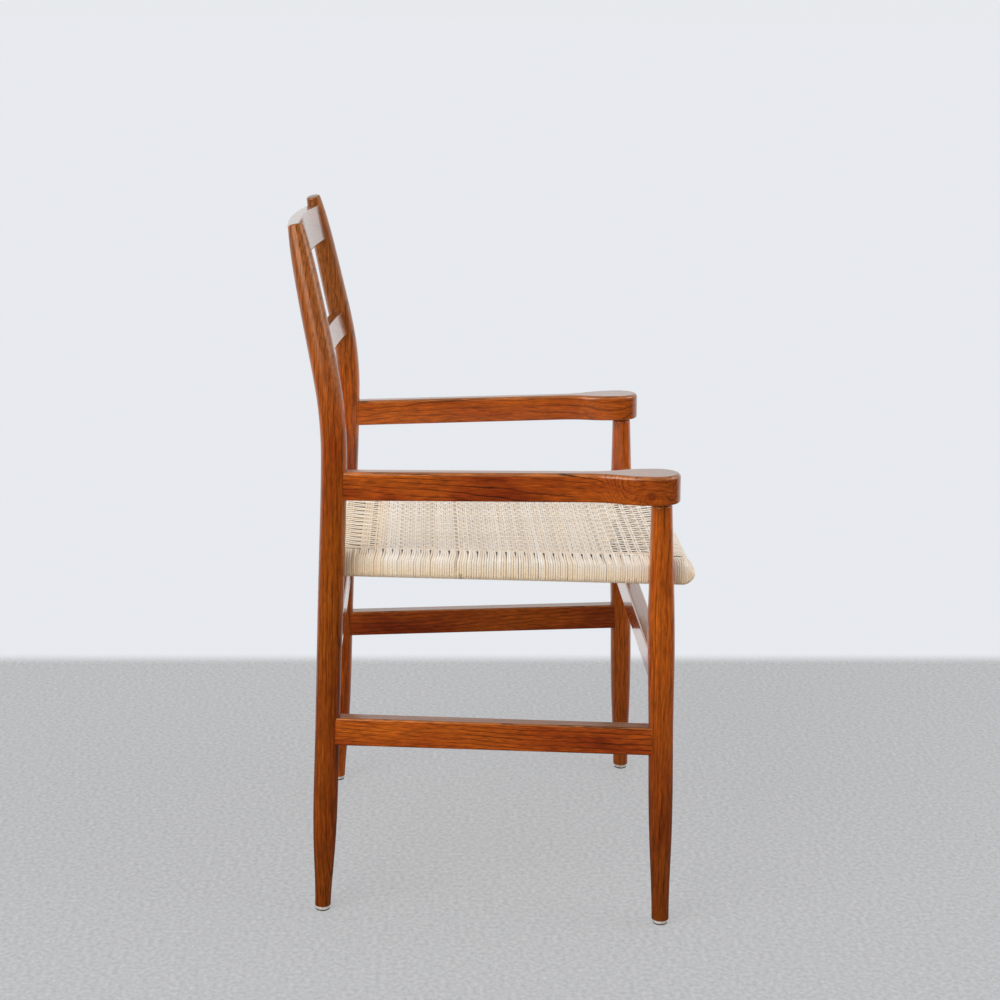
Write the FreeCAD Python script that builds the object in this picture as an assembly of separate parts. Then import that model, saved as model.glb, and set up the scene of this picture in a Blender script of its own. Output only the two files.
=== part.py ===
import FreeCAD, Part
import os
from FreeCAD import Vector

os.makedirs("parts", exist_ok=True)

# All sizes are in millimetres. Z is up, the chair's front faces -Y and X runs across it.
# The left side of the sitter is +X. Left pieces are made first and mirrored for the right.

# Back legs: centres across the chair and along it, at the floor, the knee and the top
back_leg_height = 849.0
back_foot_half_span = 216.0
back_knee_half_span = 219.5
back_top_half_span = 182.0
back_foot_y = 128.5
back_knee_y = 107.9
back_top_y = 154.0
back_knee_height = 624.0
back_bend_reach = 60.0
back_foot_dia = 20.6
back_ankle_dia = 26.8
back_calf_dia = 29.6
back_seat_dia = 31.0
back_bend_dia = 31.0
back_post_dia = 30.0
back_shoulder_dia = 27.4
back_crown_dia = 23.6
back_tip_dia = 18.2
back_tip_round = 2.4

# Front legs: straight and turned, leaning a little out and forward at the floor
front_foot_half_span = 260.0
front_top_half_span = 250.5
front_foot_y = -290.0
front_top_y = -276.5
front_foot_dia = 21.4
front_ankle_dia = 26.6
front_calf_dia = 29.4
front_shin_dia = 30.0
front_belly_dia = 32.6
front_shoulder_dia = 29.0
front_neck_dia = 25.2
front_top_round = 3.6
front_tenon_dia = 15.0
front_tenon_length = 18.0
front_neck_gap = 2.6

# Arms
arm_rear_height = 528.4
arm_front_height = 534.5
arm_thickness = 34.6
arm_width = 20.0
paddle_width = 51.0
paddle_length = 115.0
paddle_nose_pull = 0.55
arm_overhang = 22.0
arm_top_round = 4.5
arm_bottom_round = 2.5
arm_tenon_width = 10.0
arm_tenon_height = 22.0

# Stretchers
stretcher_height = 35.0
stretcher_thickness = 20.0
stretcher_round = 2.5
side_stretcher_z = 221.1
cross_stretcher_z = 299.8
stretcher_tenon_thickness = 10.0
stretcher_tenon_height = 22.0

# Back slats, bowed towards the rear
top_slat_height = 47.0
lower_slat_height = 32.0
slat_thickness = 14.5
slat_bow = 14.5
slat_round = 2.0
top_slat_drop = 11.0
slat_opening = 100.0
slat_tenon_thickness = 7.0
slat_tenon_shoulder = 6.0

# Seat frame and its woven cane
seat_height = 457.8
seat_front_y = -318.8
seat_rear_y = 124.0
seat_rail_height = 26.0
seat_rail_width = 25.0
seat_rail_round = 6.5
seat_nose_round = 12.3
cane_thickness = 2.6
panel_thickness = 6.0
panel_drop = 1.4
panel_hollow = 3.5
panel_rim = 4.0
open_row_width = 5.4
open_row_pitch = 11.6
open_row_floor = 3.4
open_row_end_gap = 6.0
front_row_inset = 42.5
rear_row_inset = 56.4
rail_tenon_dia = 12.0
rail_tenon_length = 15.0

# Dowels that hold the seat frame to the legs
dowel_dia = 10.0
dowel_in_leg = 9.0
dowel_in_rail = 16.0

# Foot glides and their nails
glide_thickness = 6.2
glide_dia = 17.5
glide_round = 1.0
nail_dia = 2.4
nail_head_dia = 6.0
nail_head_thickness = 1.2
nail_recess = 0.6
nail_length = 18.0

# Clearances
joint_gap = 0.1
shoulder_gap = 0.05
tenon_end_gap = 1.0
tenon_stop = 2.0
seat_leg_gap = 0.4
overlap = 10.0

UP = Vector(0, 0, 1)
ORIGIN = Vector(0, 0, 0)


def towards(start, end, share):
    """The point at a share of the way from start to end."""
    return start + (end - start) * share


def unit(start, end):
    """The direction from start to end."""
    step = end - start
    return step / step.Length


def mirrored(shape):
    """The same piece on the chair's right."""
    return shape.mirror(ORIGIN, Vector(1, 0, 0))


def cylinder(start, end, dia):
    """A round bar between two points."""
    return Part.makeCylinder(dia / 2, (end - start).Length, start, unit(start, end))


def bar(start, end, width, height, edge=0.0, lift=0.0):
    """A straight bar between two points on the centre line of its underside raised by lift.

    Its width is level and its height runs up from the line.
    """
    length = (end - start).Length
    along = unit(start, end)
    across = UP.cross(along)
    across = across / across.Length
    upward = along.cross(across)
    block = Part.makeBox(length, width, height, Vector(0, -width / 2, lift))
    if edge > 0:
        long_edges = [e for e in block.Edges if abs(e.tangentAt(e.FirstParameter).x) > 0.99]
        block = block.makeFillet(edge, long_edges)
    turn = FreeCAD.Rotation(along, across, upward, "XYZ")
    block.Placement = FreeCAD.Placement(start, turn)
    return block


def ring(centre, direction, dia):
    """A circle across a direction, as one section of a loft."""
    circle = Part.makeCircle(dia / 2)
    circle.Placement = FreeCAD.Placement(centre, FreeCAD.Rotation(UP, direction))
    return Part.Wire([circle])


def below(height):
    """Everything lower than a height, to cut legs level."""
    side = 4 * back_leg_height
    return Part.makeBox(side, side, side, Vector(-side / 2, -side / 2, height - side))


# Leg lines
back_foot = Vector(back_foot_half_span, back_foot_y, 0)
back_knee = Vector(back_knee_half_span, back_knee_y, back_knee_height)
back_top = Vector(back_top_half_span, back_top_y, back_leg_height)
front_foot = Vector(front_foot_half_span, front_foot_y, 0)
front_arm = Vector(front_top_half_span, front_top_y, arm_front_height)


def on_line(start, end, height):
    """The point of a line at a height."""
    return towards(start, end, (height - start.z) / (end.z - start.z))


def back_leg_at(height):
    """The back leg's centre at a height, on its straight runs."""
    if height < back_knee_height:
        return on_line(back_foot, back_knee, height)
    return on_line(back_knee, back_top, height)


def front_leg_at(height):
    """The front leg's centre at a height."""
    return on_line(front_foot, front_arm, height)


# Back leg: round sections along two straight runs and the bend between them
lower_way = unit(back_foot, back_knee)
upper_way = unit(back_knee, back_top)
bend_start = back_knee - lower_way * back_bend_reach
bend_end = back_knee + upper_way * back_bend_reach
start_below = back_foot - lower_way * overlap
sections = [
    ring(start_below, lower_way, back_foot_dia),
    ring(towards(back_foot, bend_start, 0.05), lower_way, back_foot_dia),
    ring(towards(back_foot, bend_start, 0.15), lower_way, back_ankle_dia),
    ring(towards(back_foot, bend_start, 0.37), lower_way, back_calf_dia),
    ring(towards(back_foot, bend_start, 0.75), lower_way, back_seat_dia),
]
for share in (0.0, 0.25, 0.5, 0.75, 1.0):
    centre = towards(towards(bend_start, back_knee, share), towards(back_knee, bend_end, share), share)
    way = towards(lower_way, upper_way, share)
    dia = back_seat_dia + (back_bend_dia - back_seat_dia) * share
    sections.append(ring(centre, way, dia))
sections += [
    ring(towards(bend_end, back_top, 0.30), upper_way, back_post_dia),
    ring(towards(bend_end, back_top, 0.66), upper_way, back_shoulder_dia),
    ring(towards(bend_end, back_top, 0.86), upper_way, back_crown_dia),
    ring(back_top, upper_way, back_tip_dia),
]
back_leg = Part.makeLoft(sections, True, False)
tip_edges = [e for e in back_leg.Edges if e.BoundBox.ZMin > bend_end.z and e.BoundBox.ZLength < back_tip_dia]
tip_edges = [e for e in tip_edges if (e.CenterOfMass - back_top).Length < 1.0]
back_leg = back_leg.makeFillet(back_tip_round, tip_edges)
back_leg = back_leg.cut(below(glide_thickness))

# Front leg: one turned profile about its own line, with a round tenon at the top
front_way = unit(front_foot, front_arm)
front_length = (front_arm - front_foot).Length - front_neck_gap
profile = [
    (-overlap, front_foot_dia),
    (front_length * 0.05, front_foot_dia),
    (front_length * 0.19, front_ankle_dia),
    (front_length * 0.31, front_calf_dia),
    (front_length * 0.48, front_shin_dia),
    (front_length * 0.69, front_belly_dia),
    (front_length * 0.86, front_shoulder_dia),
    (front_length, front_neck_dia),
]
curve = Part.BSplineCurve()
curve.interpolate([Vector(dia / 2, 0, height) for height, dia in profile])
outer = curve.toShape()
first = Vector(0, 0, -overlap)
last = Vector(0, 0, front_length)
outline = Part.Wire([
    Part.makeLine(first, Vector(front_foot_dia / 2, 0, -overlap)),
    outer,
    Part.makeLine(Vector(front_neck_dia / 2, 0, front_length), last),
    Part.makeLine(last, first),
])
front_leg = Part.Face(outline).revolve(ORIGIN, UP, 360)
shoulder_edges = [e for e in front_leg.Edges if e.BoundBox.ZMin > front_length - 0.01]
front_leg = front_leg.makeFillet(front_top_round, shoulder_edges)
front_leg.Placement = FreeCAD.Placement(front_foot, FreeCAD.Rotation(UP, front_way))
tenon_root = front_arm - front_way * (front_neck_gap + overlap)
tenon_tip = front_arm + front_way * front_tenon_length
front_leg = front_leg.fuse(cylinder(tenon_root, tenon_tip, front_tenon_dia)).removeSplitter()
front_leg = front_leg.cut(below(glide_thickness))

# Arm: a narrow rail that widens to a paddle over the front leg
arm_start = Vector(back_leg_at(arm_rear_height).x, back_leg_at(arm_rear_height).y, arm_rear_height)
arm_way = unit(arm_start, front_arm)
arm_reach = (front_arm - arm_start).Length
arm_end = arm_reach + arm_overhang
widening = arm_end - paddle_length
widest = arm_reach - arm_overhang * 0.25
half = arm_width / 2
half_paddle = paddle_width / 2


def arm_side(side):
    """One long side of the arm's outline, from the back leg to the middle of the front end."""
    spread = Part.BezierCurve()
    spread.setPoles([
        Vector(widening, side * half, 0),
        Vector(towards(Vector(widening), Vector(widest), 0.55).x, side * half, 0),
        Vector(towards(Vector(widening), Vector(widest), 0.45).x, side * half_paddle, 0),
        Vector(widest, side * half_paddle, 0),
    ])
    nose = Part.BezierCurve()
    nose.setPoles([
        Vector(widest, side * half_paddle, 0),
        Vector(widest + (arm_end - widest) * paddle_nose_pull, side * half_paddle, 0),
        Vector(arm_end, side * half_paddle * paddle_nose_pull, 0),
        Vector(arm_end, 0, 0),
    ])
    straight = Part.makeLine(Vector(0, side * half, 0), Vector(widening, side * half, 0))
    return [straight, spread.toShape(), nose.toShape()]


rear_edge = Part.makeLine(Vector(0, -half, 0), Vector(0, half, 0))
arm_outline = Part.Wire(Part.__sortEdges__(arm_side(1) + arm_side(-1) + [rear_edge]))
arm = Part.Face(arm_outline).extrude(Vector(0, 0, arm_thickness))


def rim(shape, height):
    """The outline edges of a plate at a height, without the straight one at its rear end."""
    found = []
    for e in shape.Edges:
        box = e.BoundBox
        level = abs(box.ZMin - height) < 0.01 and abs(box.ZMax - height) < 0.01
        if level and box.XMax > 0.01:
            found.append(e)
    return found


arm = arm.makeFillet(arm_top_round, rim(arm, arm_thickness))
arm = arm.makeFillet(arm_bottom_round, rim(arm, 0))
arm_across = UP.cross(arm_way)
arm_across = arm_across / arm_across.Length
arm_turn = FreeCAD.Rotation(arm_way, arm_across, arm_way.cross(arm_across), "XYZ")
arm.Placement = FreeCAD.Placement(arm_start, arm_turn)

# Side rails of the seat frame, just inside the legs
rail_top = seat_height - cane_thickness
rail_bottom = rail_top - seat_rail_height
rail_mid = rail_bottom + seat_rail_height / 2
back_at_seat = back_leg_at(rail_mid)
front_at_seat = front_leg_at(rail_mid)


def leg_radius_at(leg, centre):
    """A leg's radius at a centre, measured on the leg itself."""
    return leg.slice(UP, centre.z)[0].BoundBox.XLength / 2


def follower(leg, leg_at, low, high):
    """A plain turned piece that follows a leg between two heights, larger by the shoulder gap."""
    start = leg_at(low)
    end = leg_at(high)
    reach = (end - start).Length
    half_outline = Part.makePolygon([
        ORIGIN,
        Vector(leg_radius_at(leg, start) + shoulder_gap, 0, 0),
        Vector(leg_radius_at(leg, end) + shoulder_gap, 0, reach),
        Vector(0, 0, reach),
        ORIGIN,
    ])
    piece = Part.Face(half_outline).revolve(ORIGIN, UP, 360)
    piece.Placement = FreeCAD.Placement(start, FreeCAD.Rotation(UP, unit(start, end)))
    return piece


rail_side = seat_leg_gap + cane_thickness + seat_rail_width / 2
rail_at_back = back_at_seat - Vector(leg_radius_at(back_leg, back_at_seat) + rail_side, 0, 0)
rail_at_front = front_at_seat - Vector(leg_radius_at(front_leg, front_at_seat) + rail_side, 0, 0)


def rail_line(y):
    """The side rail's centre line at a place along the chair."""
    share = (y - rail_at_back.y) / (rail_at_front.y - rail_at_back.y)
    return Vector(towards(rail_at_back, rail_at_front, share).x, y, rail_bottom)


def seat_profile(margin):
    """A prism across the chair with the seat frame's side profile, grown by a margin."""
    front = seat_front_y + cane_thickness - margin
    rear = seat_rear_y - cane_thickness + margin
    width = 4 * front_foot_half_span
    low_corner = Vector(-width / 2, front, rail_bottom - margin)
    block = Part.makeBox(width, rear - front, seat_rail_height + 2 * margin, low_corner)
    cross_edges = [e for e in block.Edges if e.BoundBox.XLength > width / 2]
    return block.makeFillet(seat_nose_round + margin, cross_edges)


def side_bar(margin):
    """A side rail grown by a margin, with its ends rounded as the seat's profile is."""
    low = UP * margin
    start = rail_line(seat_rear_y + overlap) - low
    end = rail_line(seat_front_y - overlap) - low
    wide = seat_rail_width + 2 * margin
    high = seat_rail_height + 2 * margin
    return bar(start, end, wide, high, seat_rail_round + margin).common(seat_profile(margin))


side_rail = side_bar(0)
side_envelope = side_bar(cane_thickness)
side_wrap = side_envelope.cut(side_rail)

# Cross rails of the seat frame, with round tenons into the side rails
front_rail_y = seat_front_y + cane_thickness + seat_rail_width / 2
rear_rail_y = seat_rear_y - cane_thickness - seat_rail_width / 2
right_envelope = mirrored(side_envelope)
right_rail_block = mirrored(side_rail)
cross_rails = {}
cross_wraps = {}
cross_envelopes = {}
rail_sockets = []
for name, y in (("front", front_rail_y), ("rear", rear_rail_y)):
    end = rail_line(y)
    other = Vector(-end.x, end.y, end.z)
    rail = bar(other, end, seat_rail_width, seat_rail_height, seat_nose_round)
    low = UP * cane_thickness
    wrap_width = seat_rail_width + 2 * cane_thickness
    wrap_height = seat_rail_height + 2 * cane_thickness
    wrap = bar(other - low, end - low, wrap_width, wrap_height, seat_nose_round + cane_thickness)
    cross_envelopes[name] = wrap.copy()
    wrap = wrap.cut(rail).cut(side_envelope).cut(right_envelope)
    rail = rail.cut(side_rail).cut(right_rail_block)
    middle = UP * (seat_rail_height / 2)
    inner = Vector(seat_rail_width / 2 - rail_tenon_length, 0, 0)
    tenon = cylinder(other - inner + middle, end + inner + middle, rail_tenon_dia)
    longer = Vector(tenon_end_gap, 0, 0)
    socket = cylinder(other - inner - longer + middle, end + inner + longer + middle, rail_tenon_dia + 2 * joint_gap)
    cross_rails[name] = rail.fuse(tenon).removeSplitter()
    cross_wraps[name] = wrap
    rail_sockets.append(socket)
for socket in rail_sockets:
    side_rail = side_rail.cut(socket)
for rail in cross_rails.values():
    side_wrap = side_wrap.cut(rail)

# Woven panel between the four rails, hollow in the middle where the weave sags
panel_top = seat_height - panel_drop
corners = [
    rail_line(front_rail_y),
    rail_line(rear_rail_y),
    Vector(-rail_line(rear_rail_y).x, rear_rail_y, 0),
    Vector(-rail_line(front_rail_y).x, front_rail_y, 0),
]
corners = [Vector(c.x, c.y, panel_top - panel_thickness) for c in corners]
panel_face = Part.Face(Part.makePolygon(corners + [corners[0]]))
panel = panel_face.extrude(Vector(0, 0, panel_thickness))
panel = panel.cut(side_envelope).cut(right_envelope)
for envelope in cross_envelopes.values():
    panel = panel.cut(envelope)


def bowl(rim_centre, reach, depth, rise):
    """A shallow round bowl below its rim, with a plain disc of some rise on top."""
    radius = (reach ** 2 + depth ** 2) / (2 * depth)
    half_way = radius - depth - (radius ** 2 - reach ** 2 / 4) ** 0.5
    bottom = Vector(0, 0, -depth)
    rim_point = Vector(reach, 0, 0)
    curve = Part.Arc(bottom, Vector(reach / 2, 0, half_way), rim_point).toShape()
    rest = Part.makePolygon([rim_point, Vector(reach, 0, rise), Vector(0, 0, rise), bottom])
    piece = Part.Face(Part.Wire([curve] + rest.Edges)).revolve(ORIGIN, UP, 360)
    piece.translate(rim_centre)
    return piece


rail_reach = seat_rail_width / 2 + cane_thickness
panel_mid_y = (front_rail_y + rear_rail_y) / 2
panel_half_length = (rear_rail_y - front_rail_y) / 2 - rail_reach
panel_half_width = rail_line(panel_mid_y).x - rail_reach
hollow_reach = min(panel_half_length, panel_half_width) - panel_rim
hollow_rim = Vector(0, panel_mid_y, panel_top)
hollow_rise = panel_thickness / 3
belly = bowl(hollow_rim - UP * panel_thickness, hollow_reach, panel_hollow, hollow_rise)
panel = panel.fuse(belly).removeSplitter()
panel = panel.cut(bowl(hollow_rim, hollow_reach, panel_hollow, hollow_rise))

# Rows of openings in the weave, as grooves: three at the front and one at the rear
front_row_y = seat_front_y + front_row_inset
open_rows = [front_row_y, front_row_y + open_row_pitch, front_row_y + 2 * open_row_pitch]
open_rows.append(seat_rear_y - rear_row_inset)
for y in open_rows:
    half_row = rail_line(y).x - rail_reach - open_row_end_gap
    low_corner = Vector(-half_row, y - open_row_width / 2, panel_top - open_row_floor)
    groove = Part.makeBox(2 * half_row, open_row_width, open_row_floor + hollow_rise, low_corner)
    panel = panel.cut(groove)

# Dowels between legs and side rails
dowels = []
for leg_centre, rail_centre in ((back_at_seat, rail_at_back), (front_at_seat, rail_at_front)):
    leg = back_leg if leg_centre.y > 0 else front_leg
    face_x = leg_centre.x - leg_radius_at(leg, leg_centre)
    outer_end = Vector(face_x + dowel_in_leg, leg_centre.y, rail_mid)
    inner_end = Vector(face_x - seat_leg_gap - cane_thickness - dowel_in_rail, leg_centre.y, rail_mid)
    dowels.append(cylinder(inner_end, outer_end, dowel_dia))
    hole = cylinder(
        inner_end - Vector(tenon_end_gap, 0, 0),
        outer_end + Vector(tenon_end_gap, 0, 0),
        dowel_dia + 2 * joint_gap,
    )
    back_leg = back_leg.cut(hole)
    front_leg = front_leg.cut(hole)
    side_rail = side_rail.cut(hole)
    side_wrap = side_wrap.cut(hole)

# Arm joints: a tenon into the back leg and a socket for the front leg's tenon
tenon_lift = (arm_thickness - arm_tenon_height) / 2
arm_up = arm_way.cross(arm_across)
arm_low = arm_rear_height - overlap
arm_high = arm_rear_height + arm_thickness + overlap
arm = arm.cut(follower(back_leg, back_leg_at, arm_low, arm_high))
arm = max(arm.Solids, key=lambda s: s.Volume)
arm_tenon_start = arm_start + arm_way * tenon_stop
arm_tenon_end = arm_start + arm_way * (back_bend_dia / 2 + overlap)
tenon = bar(arm_tenon_start, arm_tenon_end, arm_tenon_width, arm_tenon_height, 0, tenon_lift)
arm = arm.fuse(tenon).removeSplitter()
mortise = bar(
    arm_tenon_start - arm_way * tenon_end_gap,
    arm_tenon_end,
    arm_tenon_width + 2 * joint_gap,
    arm_tenon_height + 2 * joint_gap,
    0,
    tenon_lift - joint_gap,
)
back_leg = back_leg.cut(mortise)
socket = cylinder(
    tenon_root,
    tenon_tip + front_way * tenon_end_gap,
    front_tenon_dia + 2 * joint_gap,
)
arm = arm.cut(socket)


def stretcher(start, end, followers):
    """A rail between two leg lines with shoulders that follow the legs, and what it cuts out of them."""
    along = unit(start, end)
    body = bar(start, end, stretcher_thickness, stretcher_height, stretcher_round)
    for leg_shape in followers:
        body = body.cut(leg_shape)
    body = max(body.Solids, key=lambda s: s.Volume)
    lift = (stretcher_height - stretcher_tenon_height) / 2
    first = start + along * tenon_stop
    last = end - along * tenon_stop
    tenons = bar(first, last, stretcher_tenon_thickness, stretcher_tenon_height, 0, lift)
    cutter = bar(
        first - along * tenon_end_gap,
        last + along * tenon_end_gap,
        stretcher_tenon_thickness + 2 * joint_gap,
        stretcher_tenon_height + 2 * joint_gap,
        0,
        lift - joint_gap,
    )
    return body.fuse(tenons).removeSplitter(), cutter


# Stretchers
side_mid = side_stretcher_z + stretcher_height / 2
cross_mid = cross_stretcher_z + stretcher_height / 2
side_back = back_leg_at(side_mid) - UP * (stretcher_height / 2)
side_front = front_leg_at(side_mid) - UP * (stretcher_height / 2)
cross_front = front_leg_at(cross_mid) - UP * (stretcher_height / 2)
cross_back = back_leg_at(cross_mid) - UP * (stretcher_height / 2)
front_other = Vector(-cross_front.x, cross_front.y, cross_front.z)
back_other = Vector(-cross_back.x, cross_back.y, cross_back.z)
side_low = side_stretcher_z - overlap
side_high = side_stretcher_z + stretcher_height + overlap
cross_low = cross_stretcher_z - overlap
cross_high = cross_stretcher_z + stretcher_height + overlap
back_at_side = follower(back_leg, back_leg_at, side_low, side_high)
front_at_side = follower(front_leg, front_leg_at, side_low, side_high)
back_at_cross = follower(back_leg, back_leg_at, cross_low, cross_high)
front_at_cross = follower(front_leg, front_leg_at, cross_low, cross_high)
side_stretcher, side_cutter = stretcher(side_back, side_front, [back_at_side, front_at_side])
front_stretcher, front_cutter = stretcher(front_other, cross_front, [front_at_cross, mirrored(front_at_cross)])
back_stretcher, back_cutter = stretcher(back_other, cross_back, [back_at_cross, mirrored(back_at_cross)])

# Slats: arcs in plan that lean back with the posts, with level edges
post_run = back_top - back_knee
lean_share = post_run.y / post_run.z


def slat_strip(half_span, thickness, low, high, edge):
    """A bowed strip between two heights, with its ends at a half span from the middle."""
    y = back_leg_at(low).y
    front_mid = Vector(0, y + slat_bow - thickness / 2, low)
    back_mid = Vector(0, y + slat_bow + thickness / 2, low)
    front_right = Vector(-half_span, y - thickness / 2, low)
    front_left = Vector(half_span, y - thickness / 2, low)
    back_right = Vector(-half_span, y + thickness / 2, low)
    back_left = Vector(half_span, y + thickness / 2, low)
    wire = Part.Wire([
        Part.Arc(front_right, front_mid, front_left).toShape(),
        Part.makeLine(front_left, back_left),
        Part.Arc(back_left, back_mid, back_right).toShape(),
        Part.makeLine(back_right, front_right),
    ])
    strip = Part.Face(wire).extrude(Vector(0, lean_share, 1) * (high - low))
    if edge > 0:
        arcs = [e for e in strip.Edges if e.BoundBox.XLength > half_span]
        strip = strip.makeFillet(edge, arcs)
    return strip


def slat(upper_edge, height, posts):
    """A slat whose upper edge is at a height, and what its tenons cut out of the posts."""
    lower_edge = upper_edge - height
    reach = back_leg_at((lower_edge + upper_edge) / 2).x
    body = slat_strip(reach, slat_thickness, lower_edge, upper_edge, slat_round)
    for post in posts:
        body = body.cut(post)
    body = max(body.Solids, key=lambda s: s.Volume)
    low = lower_edge + slat_tenon_shoulder
    high = upper_edge - slat_tenon_shoulder
    tenons = slat_strip(reach - tenon_stop, slat_tenon_thickness, low, high, 0)
    cutter = slat_strip(
        reach - tenon_stop + tenon_end_gap,
        slat_tenon_thickness + 2 * joint_gap,
        low - joint_gap,
        high + joint_gap,
        0,
    )
    return body.fuse(tenons).removeSplitter(), cutter


posts = [back_leg, mirrored(back_leg)]
top_upper_edge = back_leg_height - top_slat_drop
lower_upper_edge = top_upper_edge - top_slat_height - slat_opening
top_slat, top_slat_cutter = slat(top_upper_edge, top_slat_height, posts)
lower_slat, lower_slat_cutter = slat(lower_upper_edge, lower_slat_height, posts)
for cutter in (side_cutter, back_cutter, top_slat_cutter, lower_slat_cutter):
    back_leg = back_leg.cut(cutter)
for cutter in (side_cutter, front_cutter):
    front_leg = front_leg.cut(cutter)

# Foot glides and nails
glides = []
nails = []
for foot, leg_name in ((back_foot, "back"), (front_foot, "front")):
    glide = Part.makeCylinder(glide_dia / 2, glide_thickness, foot, UP)
    low_edges = [e for e in glide.Edges if e.BoundBox.ZMax < 0.01]
    glide = glide.makeFillet(glide_round, low_edges)
    head_bottom = foot + UP * nail_recess
    head = Part.makeCylinder(nail_head_dia / 2, nail_head_thickness, head_bottom, UP)
    shank = Part.makeCylinder(nail_dia / 2, nail_length, head_bottom, UP)
    nail = head.fuse(shank).removeSplitter()
    mouth = Part.makeCylinder(nail_head_dia / 2, nail_recess + nail_head_thickness, foot, UP)
    glides.append(glide.cut(mouth).cut(shank))
    nails.append(nail)
    if leg_name == "back":
        back_leg = back_leg.cut(shank)
    else:
        front_leg = front_leg.cut(shank)


def both_sides(shapes):
    """Left pieces and their mirrored twins as one group."""
    return Part.makeCompound(shapes + [mirrored(s) for s in shapes])


nodes = {
    "left_back_leg": back_leg,
    "right_back_leg": mirrored(back_leg),
    "left_front_leg": front_leg,
    "right_front_leg": mirrored(front_leg),
    "left_arm": arm,
    "right_arm": mirrored(arm),
    "top_slat": top_slat,
    "lower_slat": lower_slat,
    "left_side_stretcher": side_stretcher,
    "right_side_stretcher": mirrored(side_stretcher),
    "front_stretcher": front_stretcher,
    "back_stretcher": back_stretcher,
    "left_seat_rail": side_rail,
    "right_seat_rail": mirrored(side_rail),
    "front_seat_rail": cross_rails["front"],
    "rear_seat_rail": cross_rails["rear"],
    "woven_panel": panel,
    "left_cane_wrap": side_wrap,
    "right_cane_wrap": mirrored(side_wrap),
    "front_cane_wrap": cross_wraps["front"],
    "rear_cane_wrap": cross_wraps["rear"],
    "seat_dowels": both_sides(dowels),
    "foot_glides": both_sides(glides),
    "glide_nails": both_sides(nails),
}

# Centre the chair along Y, so that the origin is below the middle of its box
whole = Part.makeCompound(list(nodes.values())).optimalBoundingBox(False, False)
shift = Vector(0, -(whole.YMin + whole.YMax) / 2, -whole.ZMin)
for name, shape in nodes.items():
    moved = shape.copy()
    moved.translate(shift)
    moved.exportStep("parts/" + name + ".step")
    print(name, len(moved.Solids), "valid" if moved.isValid() else "NOT VALID", round(moved.Volume))
print("box", round(whole.XLength, 2), round(whole.YLength, 2), round(whole.ZLength, 2), "shift", round(shift.y, 3))
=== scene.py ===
import math
import random

import bpy
import numpy as np
from mathutils import Matrix, Vector


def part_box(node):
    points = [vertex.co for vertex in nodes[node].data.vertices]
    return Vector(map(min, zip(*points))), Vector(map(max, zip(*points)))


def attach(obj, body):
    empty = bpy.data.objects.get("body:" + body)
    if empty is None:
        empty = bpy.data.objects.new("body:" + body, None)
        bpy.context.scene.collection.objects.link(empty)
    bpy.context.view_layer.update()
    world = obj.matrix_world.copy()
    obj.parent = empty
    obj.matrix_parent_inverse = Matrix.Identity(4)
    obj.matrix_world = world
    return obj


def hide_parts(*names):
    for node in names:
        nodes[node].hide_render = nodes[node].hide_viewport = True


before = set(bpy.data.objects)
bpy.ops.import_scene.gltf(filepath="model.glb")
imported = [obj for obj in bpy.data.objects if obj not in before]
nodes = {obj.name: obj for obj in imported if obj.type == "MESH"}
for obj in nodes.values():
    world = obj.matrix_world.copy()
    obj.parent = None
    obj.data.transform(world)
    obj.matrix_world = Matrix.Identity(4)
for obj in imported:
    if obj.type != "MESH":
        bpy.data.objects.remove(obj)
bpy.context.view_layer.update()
rng = random.Random(7)
X, Y, Z = 0, 1, 2


# Node trees

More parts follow.
